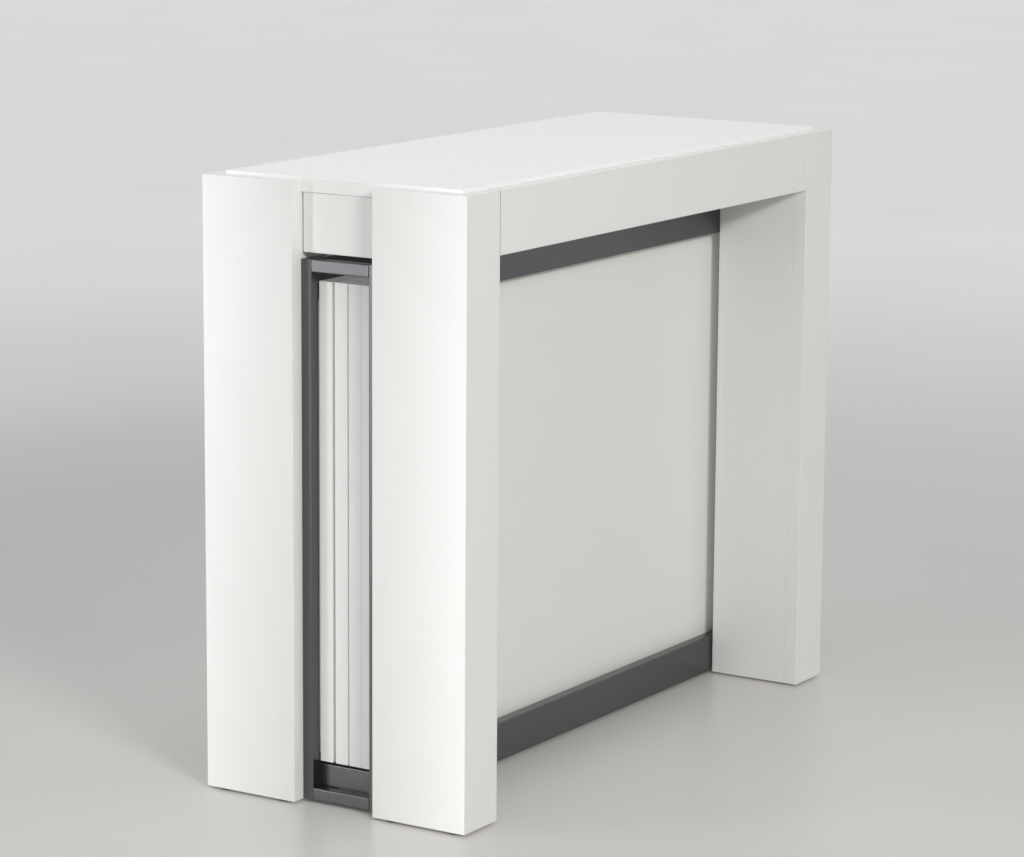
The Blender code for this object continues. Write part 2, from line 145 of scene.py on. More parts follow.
class Wiring:
    """A shader node tree that is being wired."""

    def __init__(self, tree: bpy.types.NodeTree) -> None:
        """Keep the tree that the nodes go into."""
        self.tree = tree

    def join(self, value: object, target: Socket) -> None:
        """Link a socket to an input, or set a constant on it.

        Args:
            value: a socket or a constant.
            target: the input that takes it.
        """
        if isinstance(value, bpy.types.NodeSocket):
            self.tree.links.new(value, target)
        elif target.type == "RGBA":
            target.default_value = (*value, 1.0)
        else:
            target.default_value = value

    def fill(self, targets: bpy.types.NodeInputs, inputs: dict[str, object]) -> None:
        """Fill a node's inputs.

        Args:
            targets: the node's inputs.
            inputs: sockets or constants by input name, with underscores for spaces.
        """
        for name, value in inputs.items():
            self.join(value, targets[name.replace("_", " ")])

    def add(self, kind: str, **inputs: object) -> bpy.types.Node:
        """Add a shader node and fill its inputs.

        Args:
            kind: the node's type without its ShaderNode prefix.
            inputs: sockets or constants by input name, with underscores for spaces.

        Returns:
            The new node.
        """
        node = self.tree.nodes.new(f"ShaderNode{kind}")
        self.fill(node.inputs, inputs)
        return node

    def math(self, operation: str, *values: object, clamp: bool = False, kind: str = "Math") -> Socket:
        """Add a Math or Vector Math node whose result is a number.

        Args:
            operation: Blender's name of the sum.
            values: sockets or constants, in order.
            clamp: keep the result between 0 and 1.
            kind: the node's type.

        Returns:
            The node's result.
        """
        node = self.add(kind)
        node.operation = operation
        if clamp:
            node.use_clamp = True
        for value, target in zip(values, node.inputs):
            self.join(value, target)
        return node.outputs["Value"]

    def spread(self, value: Socket, low: float, high: float) -> Socket:
        """Map a value from 0 to 1 onto the range from low to high."""
        return self.add("MapRange", Value=value, To_Min=low, To_Max=high).outputs[0]

    def ramp(self, value: Socket, low: float, high: float) -> Socket:
        """Map a value from the range from low to high onto 0 to 1."""
        return self.add("MapRange", Value=value, From_Min=low, From_Max=high).outputs[0]

    def tint(self, factor: Socket, first: object, second: object) -> Socket:
        """Mix two colours.

        Args:
            factor: how much of the second colour shows.
            first: a colour, as a socket or a constant.
            second: a colour, as a socket or a constant.

        Returns:
            The mixed colour.
        """
        node = self.add("Mix")
        node.data_type = "RGBA"
        for place, value in ((MIX_FACTOR, factor), (MIX_FIRST, first), (MIX_SECOND, second)):
            self.join(value, node.inputs[place])
        return node.outputs[MIX_RESULT]

    def noise(self, size: object, detail: float, stretch: Point | None = None) -> Socket:
        """Noise at a real scale, in the piece's own coordinates.

        Args:
            size: the size of its features in metres, as a socket or a constant.
            detail: how many finer layers it has.
            stretch: how fast it changes along each axis, where that isn't even.

        Returns:
            The noise, about 0 to 1.
        """
        place = self.add("TexCoord").outputs["Object"]
        if stretch is not None:
            place = self.add("Mapping", Vector=place, Scale=stretch).outputs[0]
        scale = self.math("DIVIDE", 1.0, size)
        return self.add("TexNoise", Vector=place, Scale=scale, Detail=detail).outputs[0]

    def seen(self) -> Socket:
        """Whether a ray shows what it meets: to the camera, in a reflection or through glass.

        Returns:
            1 for such a ray, and 0 for one that only carries light.
        """
        path = self.add("LightPath").outputs
        shown = self.math("MAXIMUM", path["Is Camera Ray"], path["Is Glossy Ray"])
        return self.math("MAXIMUM", shown, path["Is Transmission Ray"])

    def place(self, effect: "Effect", **inputs: object) -> bpy.types.NodeOutputs:
        """Place a shared effect.

        Args:
            effect: the effect.
            inputs: sockets or constants by input name, with underscores for spaces.

        Returns:
            The group node's outputs.
        """
        node = self.add("Group")
        node.node_tree = effect.tree
        self.fill(node.inputs, inputs)
        return node.outputs


class Effect(Wiring):
    """A shader node group that more than one finish uses."""

    def __init__(self, name: str, inputs: dict[str, float], outputs: Sequence[str]) -> None:
        """Make the empty group and its sockets.

        Args:
            name: the group's name.
            inputs: input names with their usual values.
            outputs: output names.
        """
        super().__init__(bpy.data.node_groups.new(name, "ShaderNodeTree"))
        for label, value in inputs.items():
            socket = self.tree.interface.new_socket(label, in_out="INPUT", socket_type="NodeSocketFloat")
            socket.default_value = value
        for label in outputs:
            self.tree.interface.new_socket(label, in_out="OUTPUT", socket_type="NodeSocketFloat")
        self.inlet = self.tree.nodes.new("NodeGroupInput").outputs
        self.outlet = self.tree.nodes.new("NodeGroupOutput").inputs

    def give(self, **outputs: Socket) -> None:
        """Put values out of the group, by output name."""
        self.fill(self.outlet, outputs)


class SharedEffects:
    """The effects that the finishes share, each built once."""

    EDGE_GAIN = 4.0
    EDGE_PATCHES = (0.2, 1.0)
    FLECK_RANGE = (0.62, 0.78)
    DUST_POWER = 3.0
    DUST_PATCHES = (0.3, 1.0)

    def __init__(self) -> None:
        """Build every effect."""
        self.film = self.build_film()
        self.rubbed_edge = self.build_rubbed_edge()
        self.grain = self.build_grain()
        self.dust = self.build_dust()

    def build_film(self) -> Effect:
        """A sprayed film: a faint ripple in its surface, and a slow drift of tone and gloss.

        Returns:
            The group, with Height and Drift.
        """
        group = Effect("sprayed_film", {"Ripple Size": 0.004, "Drift Size": 0.2}, ("Height", "Drift"))
        group.give(Height=group.noise(group.inlet["Ripple Size"], detail=1.0),
                   Drift=group.noise(group.inlet["Drift Size"], detail=3.0))
        return group

    def build_rubbed_edge(self) -> Effect:
        """Edges painted lighter, partly rubbed wear and partly a painted highlight, broken up so that no
        edge is lightened evenly.

        Returns:
            The group, with Mask.
        """
        group = Effect("rubbed_edge", {"Reach": 0.0012, "Patch Size": 0.03}, ("Mask",))
        rounded = group.add("Bevel", Radius=group.inlet["Reach"]).outputs[0]
        normal = group.add("NewGeometry").outputs["Normal"]
        turn = group.math("SUBTRACT", 1.0, group.math("DOT_PRODUCT", rounded, normal, kind="VectorMath"))
        edge = group.math("MULTIPLY", turn, self.EDGE_GAIN, clamp=True)
        patches = group.spread(group.noise(group.inlet["Patch Size"], detail=4.0), *self.EDGE_PATCHES)
        group.give(Mask=group.math("MULTIPLY", edge, patches, clamp=True))
        return group

    def build_grain(self) -> Effect:
        """A fine even grain, as in powder coat, rubber or moulded plastic.

        Returns:
            The group, with Height and Fleck.
        """
        group = Effect("fine_grain", {"Grain Size": 0.0004}, ("Height", "Fleck"))
        height = group.noise(group.inlet["Grain Size"], detail=2.0)
        group.give(Height=height, Fleck=group.ramp(height, *self.FLECK_RANGE))
        return group

    def build_dust(self) -> Effect:
        """Fine dust that lies on faces that look up.

        Returns:
            The group, with Mask.
        """
        group = Effect("settled_dust", {"Amount": 0.2, "Patch Size": 0.05}, ("Mask",))
        normal = group.add("NewGeometry").outputs["Normal"]
        upward = group.math("MAXIMUM", group.add("SeparateXYZ", Vector=normal).outputs["Z"], 0.0)
        patches = group.spread(group.noise(group.inlet["Patch Size"], detail=5.0), *self.DUST_PATCHES)
        mask = group.math("MULTIPLY", group.math("POWER", upward, self.DUST_POWER), patches)
        group.give(Mask=group.math("MULTIPLY", mask, group.inlet["Amount"], clamp=True))
        return group


# Finishes


@dataclass(frozen=True)
class Wear:
    """Lighter edges, partly rubbed wear and partly a painted highlight: their colour, how far they reach,
    the size of their patches and their strength.
    """

    color: Color
    reach: float = 0.0010
    patch: float = 0.12
    strength: float = 0.25


@dataclass(frozen=True)
class Dust:
    """Settled dust: its colour, how much there is and the size of its patches."""

    color: Color
    amount: float
    patch: float


class Canvas(Wiring):
    """A material that is being wired around its Principled shader."""

    def __init__(self, name: str, effects: SharedEffects) -> None:
        """Make the material.

        Args:
            name: the material's name.
            effects: the shared effects.
        """
        self.material = bpy.data.materials.new(name)
        self.material.use_nodes = True
        super().__init__(self.material.node_tree)
        self.effects = effects
        self.shader = self.tree.nodes["Principled BSDF"].inputs

    def feed(self, **inputs: object) -> None:
        """Fill the shader's inputs, by input name."""
        self.fill(self.shader, inputs)

    def relief(self, height: Socket, depth: float) -> None:
        """Raise the surface by a height map whose 1 stands a depth in metres high."""
        self.feed(Normal=self.add("Bump", Height=height, Distance=depth).outputs[0])

    def drift(self, size: float) -> Socket:
        """A slow drift of tone or gloss, with features of a size in metres."""
        return self.place(self.effects.film, Drift_Size=size)["Drift"]

    def grain(self, size: float) -> bpy.types.NodeOutputs:
        """A fine grain of a size in metres, as Height and Fleck."""
        return self.place(self.effects.grain, Grain_Size=size)

    def rubbed(self, color: Socket, wear: Wear | None) -> Socket:
        """A colour with lighter edges, partly rubbed wear and partly a painted highlight.

        Args:
            color: the colour of the rest.
            wear: how the edges are lightened, or None where they aren't.

        Returns:
            The colour.
        """
        if wear is None:
            return color
        # Edges painted lighter: partly rubbed wear, partly a painted highlight
        edge = self.place(self.effects.rubbed_edge, Reach=wear.reach, Patch_Size=wear.patch)["Mask"]
        return self.tint(self.math("MULTIPLY", edge, wear.strength), color, wear.color)

    def dusted(self, color: Socket, dust: Dust) -> Socket:
        """A colour with dust on the faces that look up."""
        mask = self.place(self.effects.dust, Amount=dust.amount, Patch_Size=dust.patch)["Mask"]
        return self.tint(mask, color, dust.color)


@dataclass(frozen=True)
class Finish(ABC):
    """A finish that some surfaces have."""

    name: str

    def material(self, effects: SharedEffects) -> Material:
        """Make the finish's material.

        Args:
            effects: the shared effects.

        Returns:
            The material.
        """
        canvas = Canvas(self.name, effects)
        self.paint(canvas)
        return canvas.material

    @abstractmethod
    def paint(self, canvas: Canvas) -> None:
        """Wire the finish into its material."""


@dataclass(frozen=True)
class FilmFinish(Finish):
    """A smooth film with a faint ripple and a slow drift of tone and gloss."""

    color: Color
    drift_color: Color
    gloss: Range
    ripple_size: float
    ripple_depth: float
    drift_size: float
    wear: Wear | None = None
    metallic: float = 0.0
    ior: float = 1.5

    def paint(self, canvas: Canvas) -> None:
        """Wire the film.

        Args:
            canvas: the material.
        """
        film = canvas.place(canvas.effects.film, Ripple_Size=self.ripple_size, Drift_Size=self.drift_size)
        body = canvas.tint(film["Drift"], self.color, self.drift_color)
        canvas.feed(Base_Color=canvas.rubbed(body, self.wear), Metallic=self.metallic, IOR=self.ior,
                    Roughness=canvas.spread(film["Drift"], *self.gloss))
        canvas.relief(film["Height"], self.ripple_depth)


@dataclass(frozen=True)
class LacquerFinish(FilmFinish):
    """Sprayed satin lacquer on a board, slightly lighter at its edges: a painted highlight."""

    ripple_size: float = 0.006
    ripple_depth: float = 0.000012
    drift_size: float = 0.22
    ior: float = 1.48


@dataclass(frozen=True)
class ZincFinish(FilmFinish):
    """Bright zinc plate of the screws, mottled."""

    name: str = "zinc_plate"
    color: Color = (0.62, 0.64, 0.66)
    drift_color: Color = (0.48, 0.50, 0.53)
    gloss: Range = (0.29, 0.42)
    ripple_size: float = 0.0008
    ripple_depth: float = 0.00001
    drift_size: float = 0.003
    metallic: float = 1.0


@dataclass(frozen=True)
class FloorFinish(FilmFinish):
    """Pale sealed floor, almost plain, that fades into a paler backdrop away from the table."""

    name: str = "pale_floor"
    color: Color = (0.600, 0.585, 0.560)
    drift_color: Color = (0.560, 0.545, 0.520)
    gloss: Range = (0.28, 0.34)
    ripple_size: float = 0.01
    ripple_depth: float = 0.00004
    drift_size: float = 0.6
    fade_color: Color = (0.28, 0.28, 0.30)
    fade_reach: Range = (0.3, 5.0)

    def paint(self, canvas: Canvas) -> None:
        """Wire the floor and its fading.

        Args:
            canvas: the material.
        """
        super().paint(canvas)
        away = canvas.math("LENGTH", canvas.add("TexCoord").outputs["Object"], kind="VectorMath")
        fade = canvas.ramp(away, *self.fade_reach)
        fade.node.interpolation_type = "SMOOTHSTEP"
        shown = canvas.math("MULTIPLY", fade, canvas.seen())
        canvas.feed(Emission_Color=canvas.tint(shown, BLACK, self.fade_color), Emission_Strength=1.0)


@dataclass(frozen=True)
class GrainedFinish(Finish):
    """A fine-grained coat or moulding with flecks in it and dust on it."""

    color: Color
    fleck_color: Color
    gloss: Range
    grain_size: float
    grain_depth: float
    fleck_strength: float
    drift_size: float
    dust: Dust
    wear: Wear | None = None
    metallic: float = 0.0

    def paint(self, canvas: Canvas) -> None:
        """Wire the grain.

        Args:
            canvas: the material.
        """
        grain = canvas.grain(self.grain_size)
        fleck = canvas.math("MULTIPLY", grain["Fleck"], self.fleck_strength)
        body = canvas.rubbed(canvas.tint(fleck, self.color, self.fleck_color), self.wear)
        canvas.feed(Base_Color=canvas.dusted(body, self.dust), Metallic=self.metallic,
                    Roughness=canvas.spread(canvas.drift(self.drift_size), *self.gloss))
        canvas.relief(grain["Height"], self.grain_depth)


@dataclass(frozen=True)
class PowderCoatFinish(GrainedFinish):
    """Powder coat with metal flake, a touch lighter at its edges: rubbed wear and a painted highlight."""

    name: str = "anthracite_powder_coat"
    color: Color = (0.135, 0.132, 0.138)
    fleck_color: Color = (0.185, 0.185, 0.192)
    gloss: Range = (0.30, 0.36)
    grain_size: float = 0.0007
    grain_depth: float = 0.00003
    fleck_strength: float = 0.5
    drift_size: float = 0.12
    dust: Dust = Dust((0.36, 0.34, 0.31), amount=0.14, patch=0.04)
    # Lighter edges: rubbed wear and a painted highlight on the tube edges
    wear: Wear = Wear((0.340, 0.340, 0.350), reach=0.0014, patch=0.02, strength=0.5)
    metallic: float = 0.95


@dataclass(frozen=True)
class MouldedFinish(GrainedFinish):
    """Moulded nylon or rubber."""

    fleck_strength: float = 0.4
    drift_size: float = 0.02
    dust: Dust = Dust((0.40, 0.38, 0.35), amount=0.25, patch=0.01)


@dataclass(frozen=True)
class ExtrusionFinish(Finish):
    """Mill finish aluminium with fine drawing lines along Y."""

    name: str = "mill_aluminium"
    color: Color = (0.70, 0.71, 0.72)
    line_color: Color = (0.55, 0.56, 0.575)
    line_width: float = 0.0005
    line_stretch: Point = (1.0, 0.004, 1.0)
    line_depth: float = 0.000010
    gloss: Range = (0.29, 0.44)
    drift_size: float = 0.08
    wear: Wear = Wear((0.85, 0.86, 0.87), reach=0.0006, patch=0.015, strength=0.4)
    dust: Dust = Dust((0.42, 0.41, 0.39), amount=0.10, patch=0.03)

    def paint(self, canvas: Canvas) -> None:
        """Wire the drawn metal.

        Args:
            canvas: the material.
        """
        lines = canvas.noise(self.line_width, detail=3.0, stretch=self.line_stretch)
        metal = canvas.rubbed(canvas.tint(lines, self.line_color, self.color), self.wear)
        haze = canvas.math("MULTIPLY", lines, canvas.drift(self.drift_size))
        canvas.feed(Base_Color=canvas.dusted(metal, self.dust), Metallic=1.0,
                    Roughness=canvas.spread(haze, *self.gloss))
        canvas.relief(lines, self.line_depth)


@dataclass(frozen=True)
class BeechFinish(Finish):
    """Raw beech of the dowels, with dark streaks along the dowel."""

    name: str = "raw_beech"
    color: Color = (0.66, 0.46, 0.28)
    streak_color: Color = (0.47, 0.29, 0.16)
    streak_range: Range = (0.45, 0.75)
    fibre_size: float = 0.0006
    fibre_stretch: Point = (1.0, 1.0, 0.06)
    fibre_depth: float = 0.00006
    pore_size: float = 0.0003
    gloss: Range = (0.55, 0.75)

    def paint(self, canvas: Canvas) -> None:
        """Wire the wood.

        Args:
            canvas: the material.
        """
        fibre = canvas.noise(self.fibre_size, detail=4.0, stretch=self.fibre_stretch)
        streak = canvas.ramp(fibre, *self.streak_range)
        canvas.feed(Base_Color=canvas.tint(streak, self.color, self.streak_color),
                    Roughness=canvas.spread(canvas.grain(self.pore_size)["Height"], *self.gloss))
        canvas.relief(fibre, self.fibre_depth)


@dataclass(frozen=True)
class FibreboardFinish(Finish):
    """Raw fibreboard, where a board's end butts on another or is drilled."""

    name: str = "raw_fibreboard"
    color: Color = (0.40, 0.31, 0.21)
    fibre_color: Color = (0.27, 0.20, 0.13)
    fibre_size: float = 0.0005
    fibre_depth: float = 0.00005
    gloss: Range = (0.60, 0.80)

    def paint(self, canvas: Canvas) -> None:
        """Wire the board.

        Args:
            canvas: the material.
        """
        fibre = canvas.grain(self.fibre_size)["Height"]
        canvas.feed(Base_Color=canvas.tint(fibre, self.color, self.fibre_color),
                    Roughness=canvas.spread(fibre, *self.gloss))
        canvas.relief(fibre, self.fibre_depth)


class Finishes:
    """Every finish of the table as a material."""

    def __init__(self, effects: SharedEffects) -> None:
        """Make the materials.

        Args:
            effects: the shared effects.
        """
        self.white = LacquerFinish(
            "satin_white_lacquer", (0.835, 0.838, 0.825), (0.815, 0.818, 0.802), (0.285, 0.36),
            wear=Wear((0.880, 0.882, 0.872))).material(effects)
        self.leaf = LacquerFinish(
            "leaf_white_lacquer", (0.815, 0.818, 0.795), (0.795, 0.797, 0.772), (0.30, 0.38),
            wear=Wear((0.860, 0.862, 0.845))).material(effects)
        # Edge band painted lighter than the lacquer: a painted highlight on the boards' lit edge faces
        self.edging = LacquerFinish(
            "white_edge_band", (0.925, 0.927, 0.918), (0.905, 0.907, 0.897), (0.42, 0.50),
            wear=Wear((0.940, 0.941, 0.935))).material(effects)
        # Greyer white on the upward faces of the legs and apron: painted shade under the top's rim
        self.sealed_end = LacquerFinish(
            "sealed_board_end", (0.750, 0.752, 0.740), (0.730, 0.732, 0.720), (0.42, 0.50),
            wear=Wear((0.790, 0.792, 0.780))).material(effects)
        self.nylon = MouldedFinish(
            "grey_nylon", (0.15, 0.15, 0.152), (0.22, 0.22, 0.22), (0.45, 0.60),
            grain_size=0.0005, grain_depth=0.00002).material(effects)
        self.rubber = MouldedFinish(
            "black_rubber", (0.022, 0.022, 0.022), (0.05, 0.05, 0.05), (0.70, 0.88),
            grain_size=0.0004, grain_depth=0.00004).material(effects)
        self.raw_board = FibreboardFinish().material(effects)
        self.steel = PowderCoatFinish().material(effects)
        self.aluminium = ExtrusionFinish().material(effects)
        self.beech = BeechFinish().material(effects)
        self.zinc = ZincFinish().material(effects)
        self.floor = FloorFinish().material(effects)


# Mesh making


@dataclass(frozen=True)
class Room:
    """The space between two corners."""

    low: Vector
    high: Vector

    @classmethod
    def of(cls, node: str) -> "Room":
        """The space that a solid fills at rest."""
        return cls(*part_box(node))

    @property
    def size(self) -> Vector:
        """Its length along each axis."""
        return self.high - self.low

    @property
    def middle(self) -> Vector:
        """Its middle."""
        return (self.low + self.high) / 2

    @property
    def foot(self) -> Vector:
        """The middle of its underside."""
        return Vector((self.middle.x, self.middle.y, self.low.z))

    def section(self, along: Vector, inset: float = 0.0) -> Loop:
        """Corners of its section square to an axis, drawn in by a distance and measured from its middle."""
        x, y = [length / 2 - inset for length, part in zip(self.size, along) if not part]
        return [(x, y), (-x, y), (-x, -y), (x, -y)]


def box_shape(room: Room) -> Shape:
    """A box.

    Args:
        room: the space that it fills.

    Returns:
        The shape.
    """
    shape = bmesh.new()
    bmesh.ops.create_cube(shape, size=1.0)
    bmesh.ops.scale(shape, vec=room.size, verts=shape.verts)
    bmesh.ops.translate(shape, vec=room.middle, verts=shape.verts)
    return shape


def drawn_shape(loops: Iterable[Loop], across: Vector, up: Vector, start: Vector, end: Vector) -> Shape:
    """A section, with any hollows, drawn out along a straight line.

    Args:
        loops: the section's outline and then its hollows, as distances across and up.
        across: the section's first direction.
        up: the section's second direction.
        start: where the section's origin starts.
        end: where it ends.

    Returns:
        The shape.
    """
    shape = bmesh.new()
    for loop in loops:
        corners = [shape.verts.new(start + across * wide + up * high) for wide, high in loop]
        for first, second in zip(corners, corners[1:] + corners[:1]):
            shape.edges.new((first, second))
    bmesh.ops.triangle_fill(shape, use_beauty=True, edges=shape.edges[:])
    drawn = bmesh.ops.extrude_face_region(shape, geom=shape.faces[:])
    far = [item for item in drawn["geom"] if isinstance(item, bmesh.types.BMVert)]
    bmesh.ops.translate(shape, verts=far, vec=end - start)
    return shape


def through_shape(loops: Iterable[Loop], room: Room, along: Vector) -> Shape:
    """A section that is drawn through a space from end to end.

    Args:
        loops: the section's outline and then its hollows, measured from the middle of the space.
        room: the space.
        along: the axis that it is drawn along.

    Returns:
        The shape.
    """
    across, up = [axis for axis in AXES if axis != along]
    reach = along * (room.size.dot(along) / 2)
    return drawn_shape(loops, across, up, room.middle - reach, room.middle + reach)


def turned_shape(profile: Loop, place: Vector, direction: Vector = Z_AXIS,
                 flats: Sequence[int] = ()) -> Shape:
    """A profile turned about an axis, closed at both ends.

    Args:
        profile: radius and height of each ring, from the lower end to the upper.
        place: where the axis has height 0.
        direction: the way that the axis looks.
        flats: numbers of the rings that are hexagons instead of circles.

    Returns:
        The shape.
    """
    shape = bmesh.new()
    rings = []
    for number, (radius, height) in enumerate(profile):
        ring = []
        for step in range(RING_POINTS):
            angle = tau * step / RING_POINTS
            reach = radius
            if number in flats:
                reach = radius / cos((angle + pi / 6) % (pi / 3) - pi / 6)
            ring.append(shape.verts.new((reach * cos(angle), reach * sin(angle), height)))
        rings.append(ring)
    for lower, upper in zip(rings, rings[1:]):
        for step in range(RING_POINTS):
            after = (step + 1) % RING_POINTS
            shape.faces.new((lower[step], lower[after], upper[after], upper[step]))
    shape.faces.new(rings[0])
    shape.faces.new(rings[-1])
    turn = Z_AXIS.rotation_difference(direction).to_matrix().to_4x4()
    bmesh.ops.transform(shape, matrix=Matrix.Translation(place) @ turn, verts=shape.verts)
    return shape


def eased_loop(loop: Loop, radius: float, steps: int) -> Loop:
    """A loop whose corners are rounded, inner and outer ones alike.

    Args:
        loop: the loop's corners.
        radius: how far from a corner the rounding starts.
        steps: pieces in each rounding.

    Returns:
        The rounded loop.
    """
    eased = []
    for index, corner in enumerate(loop):
        middle = Vector(corner)
        before = middle + (Vector(loop[index - 1]) - middle).normalized() * radius
        after = middle + (Vector(loop[(index + 1) % len(loop)]) - middle).normalized() * radius
        for step in range(steps + 1):
            share = step / steps
            rest = 1 - share
            eased.append(tuple(before * rest ** 2 + middle * 2 * share * rest + after * share ** 2))
    return eased


def mirrored(points: Loop) -> Loop:
    """Points, followed by their mirror images across the first axis in reverse order."""
    return [*points, *((x, -y) for x, y in reversed(points))]


def ease_edges(shape: Shape, radius: float, steps: int = 3, angle: float = SHARP_ANGLE) -> Shape:
    """Round a shape's sharp edges.

    Args:
        shape: the shape, which is changed.
        radius: the rounding's radius.
        steps: pieces in the rounding.
        angle: an edge that turns more than this is sharp.

    Returns:
        The same shape.
    """
    sharp = [edge for edge in shape.edges if edge.is_manifold and edge.calc_face_angle() > angle]
    bmesh.ops.bevel(shape, geom=sharp, offset=radius, segments=steps, profile=0.5, affect="EDGES",
                    clamp_overlap=True)
    return shape


def gather(shapes: Iterable[Shape]) -> Shape:
    """Put several shapes into the first one.

    Args:
        shapes: the shapes, of which all but the first are used up.

    Returns:
        The first shape, with the rest in it.
    """
    whole, *rest = shapes
    for shape in rest:
        mesh = bpy.data.meshes.new("passing")
        shape.to_mesh(mesh)
        shape.free()
        whole.from_mesh(mesh)
        bpy.data.meshes.remove(mesh)
    return whole


def make_piece(name: str, shape: Shape, material: Material) -> Piece:
    """Turn a shape in the part's frame into a smooth piece.

    Args:
        name: the piece's name.
        shape: its shape, which is used up.
        material: its finish.

    Returns:
        The piece.
    """
    bmesh.ops.recalc_face_normals(shape, faces=shape.faces)
    mesh = bpy.data.meshes.new(name)
    shape.to_mesh(mesh)
    shape.free()
    mesh.shade_smooth()
    mesh.materials.append(material)
    piece = bpy.data.objects.new(name, mesh)
    bpy.context.scene.collection.objects.link(piece)
    return piece


def dress_faces(piece: Piece, material: Material, *directions: Vector) -> None:
    """Give the faces that look in some directions a finish of their own.

    Args:
        piece: the piece.
        material: the finish of those faces.
        directions: the directions.
    """
    piece.data.materials.append(material)
    number = len(piece.data.materials) - 1
    for face in piece.data.polygons:
        if any(face.normal.dot(direction) > FACING for direction in directions):
            face.material_index = number


def cut(piece: Piece, cutter: Shape, inside: Material) -> None:
    """Cut a shape out of a piece for good.

    Args:
        piece: the piece that is cut.
        cutter: what comes out of it, used up.
        inside: the finish of the cut's walls.
    """
    tool = make_piece(f"{piece.name}_tool", cutter, inside)
    boolean = piece.modifiers.new("cut", "BOOLEAN")
    boolean.operation = "DIFFERENCE"
    boolean.solver = "EXACT"
    boolean.material_mode = "TRANSFER"
    boolean.object = tool
    bpy.context.view_layer.update()
    graph = bpy.context.evaluated_depsgraph_get()
    whole = piece.data
    piece.data = bpy.data.meshes.new_from_object(piece.evaluated_get(graph))
    piece.data.name = whole.name
    piece.modifiers.clear()
    bpy.data.meshes.remove(whole)
    tool_mesh = tool.data
    bpy.data.objects.remove(tool)
    bpy.data.meshes.remove(tool_mesh)


def hand_over(piece: Piece, body: str, slot: Slot | None, *nodes: str) -> None:
    """Give a finished piece to its body and hide the solids that it stands for.

    Args:
        piece: the piece.
        body: the body that it rides on.
        slot: not used.
        nodes: the solids that it replaces.
    """
    piece.data.shade_smooth()
    smooth = piece.modifiers.new("even_faces", "WEIGHTED_NORMAL")
    smooth.keep_sharp = True
    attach(piece, body)
    if nodes:
        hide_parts(*nodes)
    LOG.info("%s rides on %s", piece.name, body)


# Sub-assemblies


